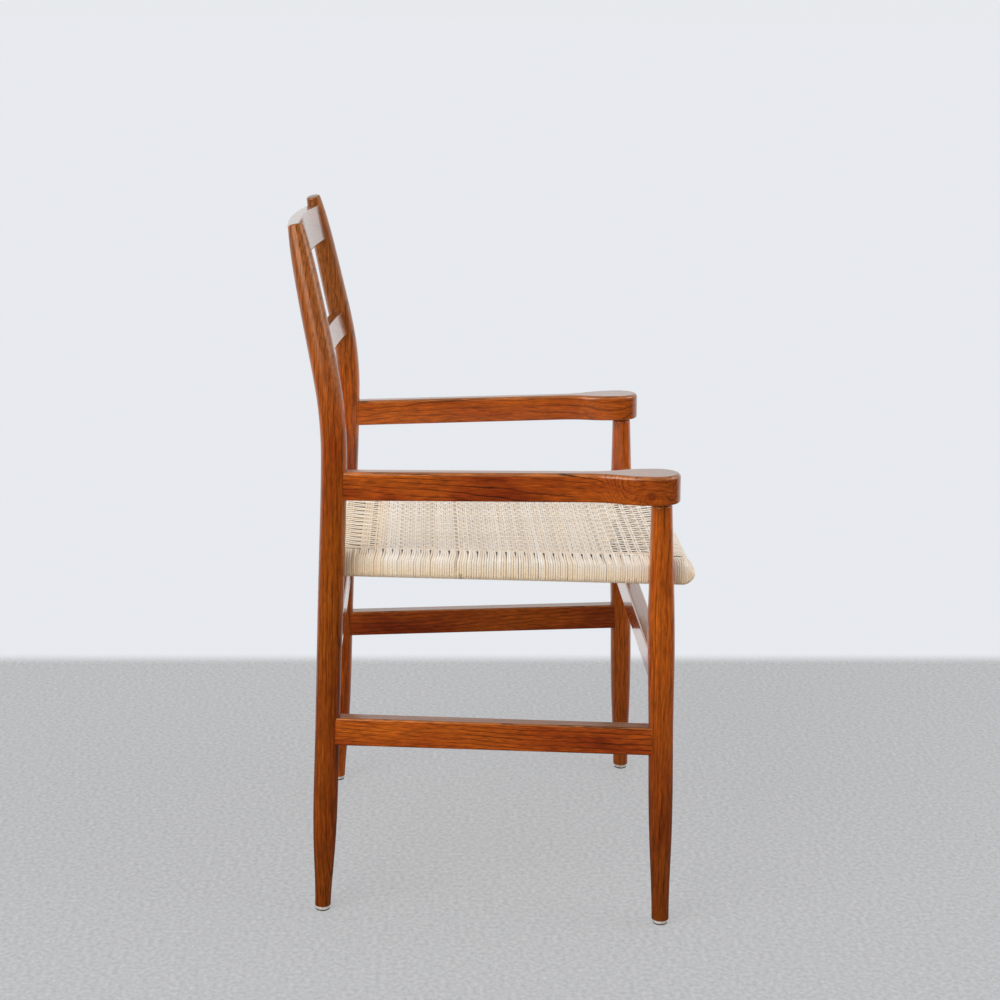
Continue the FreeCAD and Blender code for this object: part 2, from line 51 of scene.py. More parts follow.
class Tree:
    """The node tree of a new material or world, with short ways to add and join nodes."""

    def __init__(self, owner, output="ShaderNodeOutputMaterial"):
        owner.use_nodes = True
        self.owner = owner
        self.tree = owner.node_tree
        self.tree.nodes.clear()
        self.output = self.node(output)

    def node(self, kind, **settings):
        made = self.tree.nodes.new(kind)
        for key, value in settings.items():
            setattr(made, key, value)
        return made

    def put(self, socket, value):
        """Joins a socket to another one, or gives it a constant."""
        if isinstance(value, bpy.types.NodeSocket):
            self.tree.links.new(value, socket)
        else:
            socket.default_value = value

    def fill(self, made, *values):
        """Fills a node's first inputs in order and returns its outputs."""
        for socket, value in zip(made.inputs, values):
            self.put(socket, value)
        return made.outputs

    def object_place(self):
        return self.node("ShaderNodeTexCoord").outputs["Object"]

    def axes(self, spot):
        return self.fill(self.node("ShaderNodeSeparateXYZ"), spot)

    def math(self, operation, *values):
        return self.fill(self.node("ShaderNodeMath", operation=operation), *values)[0]

    def scaled(self, spot, scales):
        return self.fill(self.node("ShaderNodeVectorMath", operation="MULTIPLY"), spot, scales)[0]

    def distance(self, first, second):
        made = self.node("ShaderNodeVectorMath", operation="DISTANCE")
        return self.fill(made, first, second)["Value"]

    def noise(self, spot, scale, detail, roughness):
        made = self.node("ShaderNodeTexNoise")
        settings = {"Vector": spot, "Scale": scale, "Detail": detail, "Roughness": roughness}
        for key, value in settings.items():
            self.put(made.inputs[key], value)
        return made.outputs["Fac"]

    def stretched(self, spot, scales, detail=3.0, roughness=0.6):
        """Noise with its own scale along each axis."""
        return self.noise(self.scaled(spot, scales), 1.0, detail, roughness)

    def span(self, value, low, high, to_low=0.0, to_high=1.0, smooth=False):
        """Maps a range of values onto another one and holds its ends."""
        made = self.node("ShaderNodeMapRange", clamp=True)
        if smooth:
            made.interpolation_type = "SMOOTHSTEP"
        settings = {
            "Value": value, "From Min": low, "From Max": high, "To Min": to_low, "To Max": to_high,
        }
        for key, number in settings.items():
            self.put(made.inputs[key], number)
        return made.outputs["Result"]

    def ramp(self, value, stops):
        made = self.node("ShaderNodeValToRGB")
        band = made.color_ramp
        while len(band.elements) < len(stops):
            band.elements.new(0.5)
        for element, (position, colour) in zip(band.elements, stops):
            element.position = position
            element.color = tuple(colour) + (1.0,)
        return self.fill(made, value)[0]

    def mix(self, share, first, second, blend="MIX"):
        """Mixes two colours."""
        made = self.node("ShaderNodeMix", data_type="RGBA", blend_type=blend, clamp_factor=True)
        self.put(made.inputs["Factor"], share)
        self.put(made.inputs[6], first)
        self.put(made.inputs[7], second)
        return made.outputs[2]

    def between(self, share, first, second):
        """Mixes two numbers."""
        made = self.node("ShaderNodeMix")
        for key, value in {"Factor": share, "A": first, "B": second}.items():
            self.put(made.inputs[key], value)
        return made.outputs["Result"]

    def shaded(self, colour, shade):
        """A colour times a number."""
        rgb = self.fill(self.node("ShaderNodeCombineColor"), shade, shade, shade)[0]
        return self.mix(1.0, colour, rgb, "MULTIPLY")

    def bump(self, height, strength, distance):
        made = self.node("ShaderNodeBump")
        for key, value in {"Strength": strength, "Distance": distance, "Height": height}.items():
            self.put(made.inputs[key], value)
        return made.outputs["Normal"]

    def principled(self, colour, roughness, normal=None, **sockets):
        made = self.node("ShaderNodeBsdfPrincipled")
        self.put(made.inputs["Base Color"], colour)
        self.put(made.inputs["Roughness"], roughness)
        if normal is not None:
            self.put(made.inputs["Normal"], normal)
        for key, value in sockets.items():
            made.inputs[key.replace("_", " ")].default_value = value
        return made.outputs["BSDF"]

    def glow(self, colour, kind="ShaderNodeEmission"):
        return self.fill(self.node(kind), colour)[0]

    def either(self, share, first, second):
        """Mixes two shaders."""
        return self.fill(self.node("ShaderNodeMixShader"), share, first, second)[0]

    def finish(self, surface):
        """Makes a shader the surface, and returns the material or world."""
        self.put(self.output.inputs["Surface"], surface)
        return self.owner


def grey(value):
    return (value, value, value)


# Detail and roughness of a noise with few small forms, and the usual range of any noise
SOFT_NOISE = (2.0, 0.5)
NOISE_LOW, NOISE_HIGH = 0.25, 0.75

# Lacquered wood: the grain runs along the third axis of the turned place
TURNS = {"z": (0.0, 0.0, 0.0), "y": (math.pi / 2, 0.0, 0.0), "x": (0.0, -math.pi / 2, 0.0)}
PALE_WOOD = (0.500, 0.105, 0.005, 1.0)
MID_WOOD = (0.270, 0.030, 0.001, 1.0)
DEEP_WOOD = (0.150, 0.013, 0.001, 1.0)
LINE_WOOD = (0.030, 0.004, 0.001, 1.0)
# The next colour is a painted sheen on faces that look up
PAINTED_SHEEN_WOOD = (0.450, 0.148, 0.034, 1.0)
BROWN_WOOD = (0.270, 0.095, 0.025, 1.0)
KNOT_WOOD = (0.14, 0.016, 0.002, 1.0)
SHEEN_TINT = (0.9, 0.40, 0.12, 1.0)

# Scales of the figure, twice across the grain and once along it
WIDE_BENDS = (15.0, 15.0, 3.4)
FINE_BENDS = (55.0, 55.0, 16.0)
LINE_PATCHES = (26.0, 26.0, 7.0)
FIBRES = (620.0, 620.0, 26.0)
FLECKS = (420.0, 420.0, 60.0)
CLOUDS = (17.0, 17.0, 4.5)

# Strength of the dark line from one ring to the next
RING = [
    (0.0, grey(0.15)), (0.05, grey(0.0)), (0.55, grey(0.05)), (0.80, grey(0.20)),
    (0.87, grey(1.0)), (0.95, grey(1.0)), (1.0, grey(0.15)),
]
RING_LEAN = 0.5
FINE_WARP = 0.9
WEAK_LINES = 0.12

# Ranges of the noises that are used, and what the fibres do to brightness and roughness
PATCH_LOW, PATCH_HIGH = 0.34, 0.54
CLOUD_LOW, CLOUD_HIGH = 0.32, 0.68
DEEP_BELOW, DEEP_ABOVE = 0.14, 0.12
FLECK_LOW, FLECK_HIGH = 0.30, 0.70
FIBRE_LOW, FIBRE_HIGH = 0.28, 0.72
FIBRE_DARK, FIBRE_PALE = 0.58, 1.38
WOOD_SMOOTH, WOOD_ROUGH = 0.26, 0.36
WOOD_BUMP, WOOD_BUMP_HEIGHT = 0.15, 0.0002
WOOD_IOR = 1.6

# Faces that look up get a paler painted sheen, and level ones painted shade; both by the height of the
# normal
SHEEN_FROM, SHEEN_TO, SHEEN_SHARE = 0.03, 0.45, 0.70
LEVEL_FROM, LEVEL_TO, LEVEL_SHADE = 0.80, 0.97, 0.55

# A knot bends the rings within its reach and weakens their lines
KNOT_SQUEEZE = 0.8
KNOT_BEND = -330.0
KNOT_NEAR, KNOT_FAR = 0.004, 0.052
HEART_NEAR, HEART_FAR, HEART_SHARE = 0.0025, 0.0065, 0.7
CALM_NEAR, CALM_FAR, CALM_SHARE = 0.010, 0.065, 0.45


def teak(name, grain, place, rings, warp, lines, mottle=0.3, tone=0.0, depth=1.0, coat=1.0,
         coat_ior=1.48, polish=0.17, shades=(), painted_top_tone=None, knot=None):
    """Lacquered reddish wood. Its rings are level lines of a stretched field, seen on any face.

    rings is their number per metre, warp how far they bend and lines how dark they are. mottle is the
    strength of the flecks, tone makes the clouds paler and depth scales the brightness. shades is
    painted
    shade: each holds an axis, a start, an end and the brightness at the start. The argument after shades
    is painted light: it holds the heights between which the wood turns brown, and how far. knot is the
    place of a knot. coat is the lacquer's weight and polish its roughness.
    """
    t = Tree(bpy.data.materials.new(name))
    where = t.object_place()
    turned = t.node("ShaderNodeMapping")
    turned.inputs["Rotation"].default_value = TURNS[grain]
    turned.inputs["Location"].default_value = place
    t.put(turned.inputs["Vector"], where)
    spot = turned.outputs[0]
    spot_axes = t.axes(spot)
    across = t.math("ADD", t.math("MULTIPLY", spot_axes[X], RING_LEAN), spot_axes[Y])
    field = t.math("MULTIPLY", across, rings)
    field = t.math("ADD", field, t.math("MULTIPLY", t.stretched(spot, WIDE_BENDS, *SOFT_NOISE), warp))
    field = t.math("ADD", field, t.math("MULTIPLY", t.stretched(spot, FINE_BENDS), FINE_WARP))
    if knot is not None:
        squeezed = t.scaled(where, (1.0, KNOT_SQUEEZE, 1.0))
        far = t.distance(squeezed, (knot[X], knot[Y] * KNOT_SQUEEZE, knot[Z]))
        near = t.span(far, KNOT_NEAR, KNOT_FAR, 1.0, 0.0, smooth=True)
        field = t.math("ADD", field, t.math("MULTIPLY", near, t.math("MULTIPLY", far, KNOT_BEND)))
    line = t.ramp(t.math("FRACT", field), RING)
    patch = t.stretched(spot, LINE_PATCHES)
    strength = t.span(patch, PATCH_LOW, PATCH_HIGH, lines * WEAK_LINES, lines)
    line = t.math("MULTIPLY", line, strength)
    if knot is not None:
        line = t.math("MULTIPLY", line, t.span(far, CALM_NEAR, CALM_FAR, CALM_SHARE, 1.0))
    fibre = t.stretched(spot, FIBRES)
    fleck = t.stretched(spot, FLECKS, roughness=0.7)
    cloud = t.stretched(spot, CLOUDS, roughness=0.55)
    low, high = CLOUD_LOW + tone, CLOUD_HIGH + tone
    base = t.mix(t.span(cloud, low, high), PALE_WOOD, MID_WOOD)
    base = t.mix(t.span(cloud, high - DEEP_BELOW, high + DEEP_ABOVE), base, DEEP_WOOD)
    upwards = t.axes(t.node("ShaderNodeNewGeometry").outputs["Normal"])[Z]
    # Painted sheen: faces that look up turn paler and greyer
    painted_sheen = t.span(upwards, SHEEN_FROM, SHEEN_TO, 0.0, SHEEN_SHARE, smooth=True)
    base = t.mix(painted_sheen, base, PAINTED_SHEEN_WOOD)
    where_axes = t.axes(where)
    # Painted light: the wood turns browner towards the top
    if painted_top_tone is not None:
        start, end, share = painted_top_tone
        base = t.mix(t.span(where_axes[Z], start, end, 0.0, share, smooth=True), base, BROWN_WOOD)
    colour = t.mix(line, base, LINE_WOOD)
    shade = t.span(fibre, FIBRE_LOW, FIBRE_HIGH, FIBRE_DARK * depth, FIBRE_PALE * depth)
    flecked = t.span(fleck, FLECK_LOW, FLECK_HIGH, 1 - mottle, 1 + mottle)
    shade = t.math("MULTIPLY", shade, flecked)
    # Painted shade: level faces that look up are darker
    shade = t.math("MULTIPLY", shade, t.span(upwards, LEVEL_FROM, LEVEL_TO, 1.0, LEVEL_SHADE))
    # Painted shade: each stretch darkens towards its start, down the legs and towards the arms' front
    # ends
    for axis, start, end, share in shades:
        stretch = t.span(where_axes[axis], start, end, share, 1.0, smooth=True)
        shade = t.math("MULTIPLY", shade, stretch)
    colour = t.shaded(colour, shade)
    if knot is not None:
        heart = t.span(far, HEART_NEAR, HEART_FAR, HEART_SHARE, 0.0, smooth=True)
        colour = t.mix(heart, colour, KNOT_WOOD)
    rough = t.span(fibre, NOISE_LOW, NOISE_HIGH, WOOD_SMOOTH, WOOD_ROUGH)
    normal = t.bump(t.math("ADD", fibre, fleck), WOOD_BUMP, WOOD_BUMP_HEIGHT)
    return t.finish(t.principled(
        colour, rough, normal, IOR=WOOD_IOR, Specular_Tint=SHEEN_TINT,
        Coat_Weight=coat, Coat_Roughness=polish, Coat_IOR=coat_ior,
    ))


FRAME_STREAKS = (120.0, 120.0, 160.0)
FRAME_TONES = [(0.3, (0.16, 0.075, 0.028)), (0.7, (0.30, 0.155, 0.065))]
FRAME_ROUGH = 0.7
FRAME_BUMP, FRAME_BUMP_HEIGHT = 0.2, 0.0004


def plain_wood(name):
    """Sanded wood of the hidden seat frame."""
    t = Tree(bpy.data.materials.new(name))
    streak = t.stretched(t.object_place(), FRAME_STREAKS)
    normal = t.bump(streak, FRAME_BUMP, FRAME_BUMP_HEIGHT)
    return t.finish(t.principled(t.ramp(streak, FRAME_TONES), FRAME_ROUGH, normal))


GLIDE_GRAIN = 900.0
GLIDE_SCUFFS = 220.0
GLIDE_TONES = [(0.35, (0.50, 0.45, 0.40)), (0.62, (0.72, 0.66, 0.60))]
GLIDE_SMOOTH, GLIDE_ROUGH = 0.45, 0.65
GLIDE_BUMP, GLIDE_BUMP_HEIGHT = 0.15, 0.0002

# Heights between which a glide's painted shadow at its lower edge ends, and how dark it is
CONTACT_SHADE_TO, CONTACT_FREE_FROM, CONTACT_SHADE_SHARE = 0.0016, 0.0028, 0.92
CONTACT_SHADE = (0.040, 0.028, 0.022, 1.0)


def glide_plastic(name):
    """Pale moulded plastic, a little scuffed, with painted shadow where it meets the floor."""
    t = Tree(bpy.data.materials.new(name))
    where = t.object_place()
    grain = t.noise(where, GLIDE_GRAIN, 3.0, 0.6)
    scuff = t.noise(where, GLIDE_SCUFFS, 4.0, 0.7)
    # Painted shadow along the lower edge, where the glide meets the floor
    contact_shade = t.span(t.axes(where)[Z], CONTACT_SHADE_TO, CONTACT_FREE_FROM, CONTACT_SHADE_SHARE, 0.0)
    colour = t.mix(contact_shade, t.ramp(scuff, GLIDE_TONES), CONTACT_SHADE)
    rough = t.span(grain, 0.3, 0.7, GLIDE_SMOOTH, GLIDE_ROUGH)
    return t.finish(t.principled(colour, rough, t.bump(grain, GLIDE_BUMP, GLIDE_BUMP_HEIGHT)))


STEEL_STREAKS = (900.0, 900.0, 120.0)
STEEL_TONES = [(0.3, (0.42, 0.42, 0.43)), (0.7, (0.62, 0.62, 0.63))]
STEEL_SMOOTH, STEEL_ROUGH = 0.3, 0.45


def nail_steel(name):
    """Plain drawn steel."""
    t = Tree(bpy.data.materials.new(name))
    streak = t.stretched(t.object_place(), STEEL_STREAKS)
    rough = t.span(streak, 0.3, 0.7, STEEL_SMOOTH, STEEL_ROUGH)
    return t.finish(t.principled(t.ramp(streak, STEEL_TONES), rough, Metallic=1.0))


# Cane: the base colour by a strand's tone, and what lies over it
CANE_TONES = [
    (0.08, (0.40, 0.27, 0.17)),
    (0.40, (0.78, 0.66, 0.53)),
    (0.70, (0.88, 0.79, 0.68)),
    (1.0, (0.93, 0.875, 0.80)),
]
WARM_CANE = (0.91, 0.665, 0.375, 1.0)
DULL_CANE = (0.60, 0.44, 0.29, 1.0)
CANE_STAIN = (0.16, 0.08, 0.042, 1.0)
CANE_JOINT = (0.30, 0.18, 0.10, 1.0)
CANE_SHADE = (0.030, 0.018, 0.010, 1.0)
WARM_SHARE = 0.7
DULL_LOW, DULL_HIGH, DULL_SHARE = 0.26, 0.48, 0.40
STAIN_LOW, STAIN_HIGH, STAIN_SHARE = 0.70, 0.78, 0.8
JOINTS_PER_METRE = 3.1
JOINT_LENGTH, JOINT_SHARE = 0.007, 0.65

# Scales of the cane's figure across and along a strand, and how the seed tells strands apart
DULL_PATCHES = (1.0, 14.0, 1.0)
CANE_FIBRES = (26.0, 60.0, 1.0)
CANE_SPOTS = (5.0, 170.0, 1.0)
SEED_LAYERS = 37.0
SEED_JOINTS = 9.0

# A strand whose tone is next to nothing is painted in shade
SHADED_TO, SHADED_NOT_FROM = 0.02, 0.06
CANE_DARK, CANE_PALE = 0.86, 1.10
CANE_SMOOTH, CANE_ROUGH = 0.40, 0.58
CANE_BUMP, CANE_BUMP_HEIGHT = 0.25, 0.0003
CANE_SHEEN = 0.45


def cane_material(name):
    """Peeled rattan: each strand has its own tone, with fibres along it, joints and small stains."""
    t = Tree(bpy.data.materials.new(name))
    own = t.node("ShaderNodeAttribute", attribute_name="strand").outputs["Color"]
    tone, warmth, seed = t.fill(t.node("ShaderNodeSeparateColor"), own)[:3]
    flat = t.axes(t.node("ShaderNodeUVMap", uv_map="strand").outputs[0])
    layer = t.math("MULTIPLY", seed, SEED_LAYERS)
    spot = t.fill(t.node("ShaderNodeCombineXYZ"), flat[X], flat[Y], layer)[0]
    base = t.ramp(tone, CANE_TONES)
    warm = t.mix(t.math("MULTIPLY", warmth, WARM_SHARE), base, WARM_CANE)
    dull = t.stretched(spot, DULL_PATCHES)
    colour = t.mix(t.span(dull, DULL_LOW, DULL_HIGH, DULL_SHARE, 0.0), warm, DULL_CANE)
    fibre = t.stretched(spot, CANE_FIBRES, roughness=0.65)
    colour = t.shaded(colour, t.span(fibre, NOISE_LOW, NOISE_HIGH, CANE_DARK, CANE_PALE))
    stain = t.stretched(spot, CANE_SPOTS, *SOFT_NOISE)
    colour = t.mix(t.span(stain, STAIN_LOW, STAIN_HIGH, 0.0, STAIN_SHARE), colour, CANE_STAIN)
    along_strand = t.math("MULTIPLY", flat[Y], JOINTS_PER_METRE)
    joint = t.math("FRACT", t.math("ADD", along_strand, t.math("MULTIPLY", seed, SEED_JOINTS)))
    colour = t.mix(t.span(joint, 0.0, JOINT_LENGTH, JOINT_SHARE, 0.0), colour, CANE_JOINT)
    # Painted shade where the tone is next to nothing
    colour = t.mix(t.span(tone, SHADED_TO, SHADED_NOT_FROM, 1.0, 0.0), colour, CANE_SHADE)
    rough = t.span(fibre, NOISE_LOW, NOISE_HIGH, CANE_SMOOTH, CANE_ROUGH)
    normal = t.bump(fibre, CANE_BUMP, CANE_BUMP_HEIGHT)
    return t.finish(t.principled(colour, rough, normal, Specular_IOR_Level=CANE_SHEEN))


# Wood of each piece: grain direction, where its rings lie, and tones that change along it. These tones
# follow the photograph, so they hold some of its light
# The shades are painted shade: the legs darken downwards and the arms towards their front ends. The
# browner tops of the back posts are painted light
WOODS = {
    "right_back_leg": dict(
        grain="z", place=(0.11, 0.07, 0.30), rings=150.0, warp=4.0, lines=0.55, mottle=0.34, tone=0.02,
        depth=0.88, coat=0.45, shades=((Z, 0.44, 0.70, 0.62), (Z, 0.0, 0.12, 0.74)),
        painted_top_tone=(0.58, 0.80, 0.55),
    ),
    "left_back_leg": dict(
        grain="z", place=(0.31, 0.17, 0.10), rings=150.0, warp=4.4, lines=0.55, mottle=0.34,
        depth=0.90, coat=0.7, shades=((Z, 0.40, 0.62, 0.92),), painted_top_tone=(0.55, 0.72, 0.7),
    ),
    "right_front_leg": dict(
        grain="z", place=(0.53, 0.05, 0.70), rings=140.0, warp=3.6, lines=0.45, mottle=0.34, tone=0.03,
        depth=0.90, coat=0.7, shades=((Z, 0.0, 0.40, 0.44),),
    ),
    "left_front_leg": dict(
        grain="z", place=(0.77, 0.23, 0.40), rings=140.0, warp=4.0, lines=0.45, mottle=0.34, tone=0.06,
        shades=((Z, 0.0, 0.40, 0.58),),
    ),
    "right_arm": dict(
        grain="y", place=(0.05, 0.31, 0.20), rings=130.0, warp=6.8, lines=0.95, mottle=0.26,
        shades=((Y, -0.240, -0.150, 0.66),), knot=(-0.2745, -0.189, 0.546),
    ),
    "left_arm": dict(
        grain="y", place=(0.45, 0.11, 0.60), rings=110.0, warp=5.6, lines=0.6, mottle=0.24, tone=0.05,
        shades=((Y, -0.240, -0.170, 0.72),),
    ),
    "right_side_stretcher": dict(
        grain="y", place=(0.15, 0.41, 0.90), rings=170.0, warp=4.0, lines=0.8, mottle=0.25,
    ),
    "left_side_stretcher": dict(
        grain="y", place=(0.65, 0.21, 0.33), rings=170.0, warp=4.4, lines=0.7, mottle=0.25, tone=-0.05,
        depth=0.88,
    ),
    "front_stretcher": dict(
        grain="x", place=(0.25, 0.51, 0.15), rings=170.0, warp=4.4, lines=0.5, coat_ior=1.6, polish=0.09,
    ),
    "back_stretcher": dict(
        grain="x", place=(0.85, 0.61, 0.45), rings=170.0, warp=4.8, lines=0.7,
    ),
    "top_slat": dict(
        grain="x", place=(0.35, 0.71, 0.55), rings=120.0, warp=6.8, lines=0.85, depth=0.62,
        coat_ior=1.65, polish=0.08,
    ),
    "lower_slat": dict(
        grain="x", place=(0.95, 0.81, 0.25), rings=120.0, warp=6.4, lines=0.85, depth=0.62,
        coat_ior=1.65, polish=0.08,
    ),
}


def dress(node, material):
    """Gives a CAD node one material."""
    slots = nodes[node].data.materials
    slots.clear()
    slots.append(material)


for wooden, looks in WOODS.items():
    dress(wooden, teak("teak_" + wooden, **looks))
frame_wood = plain_wood("frame_wood")
for hidden in ("left_seat_rail", "right_seat_rail", "front_seat_rail", "rear_seat_rail", "seat_dowels"):
    dress(hidden, frame_wood)
dress("foot_glides", glide_plastic("glide_plastic"))
dress("glide_nails", nail_steel("nail_steel"))


# Woven seat: real strands in two directions, wrapped round the four rails

# Strands: width, thickness, distance of turns and of pairs, and how far they rise over a crossing
WIDTH = 0.00275
THICK = 0.00105
PITCH = 0.00285
PAIR = 0.0057
OVER_X = 0.00066
OVER_Y = 0.00046
BANDS = 37

# The rails: half width, rounding of the side rails and of the front and rear rails, and their ends
rail_low, rail_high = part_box("left_seat_rail")
sleeve_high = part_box("left_cane_wrap")[1]
HALF = 0.0125
SIDE_ROUND = 0.0065
NOSE_ROUND = 0.0123
NOSE_OUT = 0.0020
TOP = rail_high.z
LOW = rail_low.z
REAR_END = rail_high.y
FRONT_END = rail_low.y
REAR_RAIL = REAR_END - HALF
FRONT_RAIL = FRONT_END + HALF
REAR_X = rail_low.x + HALF
FRONT_X = rail_high.x - HALF
MIDDLE = (REAR_RAIL + FRONT_RAIL) / 2
HALF_DEPTH = (REAR_RAIL - FRONT_RAIL) / 2

# The wrapping: its thickness in the CAD, where a strand's middle lies and the rounding of its ends
SLEEVE = sleeve_high.z - rail_high.z
RISE = SLEEVE - THICK / 2
TOP_LINE = TOP + RISE
LOW_LINE = LOW - RISE
END_ROUND = NOSE_ROUND + RISE
END_ARC = math.radians(66)
TAIL_SHARE = 0.66
TAIL_GAP = 0.001
ROUND_GAP = 0.0004
TUCK = 0.003

# Steps in a quarter turn round the side rails and the other rails, and between two crossings
SIDE_STEPS, NOSE_STEPS = 4, 5
CROSS_STEPS, ALONG_STEPS = 3, 2

# The panel: its top, its hollow, the weave's place below the top and the lower layer's
PANEL_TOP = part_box("woven_panel")[1].z
CROWN = 0.0010
HOLLOW = 0.0035
HOLLOW_MARGIN = 0.004
UNDER = 0.0052
EDGE_RISE = 0.014


def rail_x(y):
    """Half span of the side rails' centre lines at a place along the chair."""
    share = (REAR_END - y) / (REAR_END - FRONT_END)
    return REAR_X + (FRONT_X - REAR_X) * share


HOLLOW_REACH = min(HALF_DEPTH, rail_x(MIDDLE)) - HALF - SLEEVE - HOLLOW_MARGIN


def panel_z(x, y):
    """Height of the CAD panel's top, hollow in the middle."""
    return PANEL_TOP - HOLLOW * max(0.0, 1 - (x ** 2 + (y - MIDDLE) ** 2) / HOLLOW_REACH ** 2)


def weave_z(x, y):
    """Mean height of the weave, which rises to the rails at its edges."""
    edge = min(rail_x(y) - HALF - abs(x), HALF_DEPTH - HALF - abs(y - MIDDLE))
    near = max(0.0, 1 - max(0.0, edge) / EDGE_RISE) ** 2
    level = panel_z(x, y) - CROWN
    return level + (TOP_LINE - level) * near


def arc(centre, radius, start, end, count):
    """Points on a part of a circle, angles in degrees."""
    made = []
    for i in range(count + 1):
        angle = math.radians(start + (end - start) * i / count)
        made.append((centre[0] + radius * math.cos(angle), centre[1] + radius * math.sin(angle)))
    return made


def wrap(corner, top, low, closed, steps):
    """A strand's way round a rail: from inside, below, up the outer face and onto the top.

    The first number counts outwards from the rail's middle, the second is the height.
    """
    out = HALF + RISE
    radius = min(corner + RISE, (top - low) / 2 - ROUND_GAP)
    tail = low + (top - low) * TAIL_SHARE
    way = [(-out, tail)]
    way += arc((-out + radius, low + radius), radius, 180, 270, steps)
    way += arc((out - radius, low + radius), radius, -90, 0, steps)
    way += arc((out - radius, top - radius), radius, 0, 90, steps)
    if closed:
        way += arc((-out + radius, top - radius), radius, 90, 180, steps)
        way.append((-out, tail + TAIL_GAP))
    else:
        way.append((-HALF + TUCK, top))
    return way


def wave(knots, steps):
    """Places and heights along a woven strand, eased between its crossings."""
    made = []
    for (a, height_a), (b, height_b) in zip(knots, knots[1:]):
        for i in range(steps):
            share = i / steps
            eased = (1 - math.cos(math.pi * share)) / 2
            made.append((a + (b - a) * share, height_a + (height_b - height_a) * eased))
    made.append(knots[-1])
    return made


SEAT_REACH = 0.6 * HALF
SEAT_BELOW = 0.008


def over_seat(x, y, z):
    """True for places on the seat's top, where the lower half of a strand is painted in shade."""
    inside = abs(x) < rail_x(y) + SEAT_REACH and abs(y - MIDDLE) < HALF_DEPTH + SEAT_REACH
    return inside and z > TOP - SEAT_BELOW


# Section of a strand in shares of its width and thickness, and the height that parts its halves
SECTION = np.array([
    (-0.50, 0.0), (-0.28, -0.50), (0.28, -0.50), (0.50, 0.0), (0.36, 0.43), (0.0, 0.50), (-0.36, 0.43),
])
SIDES = len(SECTION)
CROWN_FROM = -0.3

# Strands are warmer on the sides and behind, and more even in tone on the sides, except brown ones
SIDE_WARMTH, SIDE_WARM_START, SIDE_WARM_RUN = 0.70, 0.004, 0.014
REAR_WARMTH, REAR_WARM_START, REAR_WARM_RUN = 0.40, 0.120, 0.008
SIDE_TONE, SIDE_TONE_SHARE, SIDE_TONE_START, SIDE_TONE_RUN = 0.80, 0.5, 0.001, 0.008
BROWN_BELOW = 0.3

# Room round each strand in the flat map for baking
MAP_EDGE, MAP_WIDTH = 0.06, 0.88
MAP_START, MAP_LENGTH = 0.005, 0.99

# A strand's figure starts anywhere in this length, and points nearer than the other one are the same
LONGEST_START = 3.0
SAME_PLACE = 1e-6


def unit(vectors):
    return vectors / np.linalg.norm(vectors, axis=1)[:, None]


def strand_shades(points, tone, painted_shade_tone, shaded):
    """Tone, warmth and seed at each corner of a strand's sections."""
    rows = len(points)
    shades = np.tile(np.array(tone + (1.0,), np.float32), (rows, 1))
    heights = points[:, Z]
    shades[:, 1] += SIDE_WARMTH * np.clip((TOP - SIDE_WARM_START - heights) / SIDE_WARM_RUN, 0, 1)
    shades[:, 1] += REAR_WARMTH * np.clip((points[:, Y] - REAR_WARM_START) / REAR_WARM_RUN, 0, 1)
    outer = np.clip((TOP + SIDE_TONE_START - heights) / SIDE_TONE_RUN, 0, 1)
    evened = SIDE_TONE_SHARE * outer * (shades[:, 0] > BROWN_BELOW)
    shades[:, 0] += (SIDE_TONE - shades[:, 0]) * evened
    shades = np.repeat(np.clip(shades, 0, 1), SIDES, axis=0)
    crown = np.tile(SECTION[:, 1], rows) > CROWN_FROM
    # Painted shade: a given plain tone darkens the upper half of a strand
    if painted_shade_tone is not None:
        shades[crown, :2] = (painted_shade_tone, 0.0)
    # Painted shade: the lower half of a strand on the seat's top is darkened
    elif shaded:
        on_top = [over_seat(*point) for point in points]
        shades[~crown & np.repeat(on_top, SIDES), 0] = 0.0
    return shades


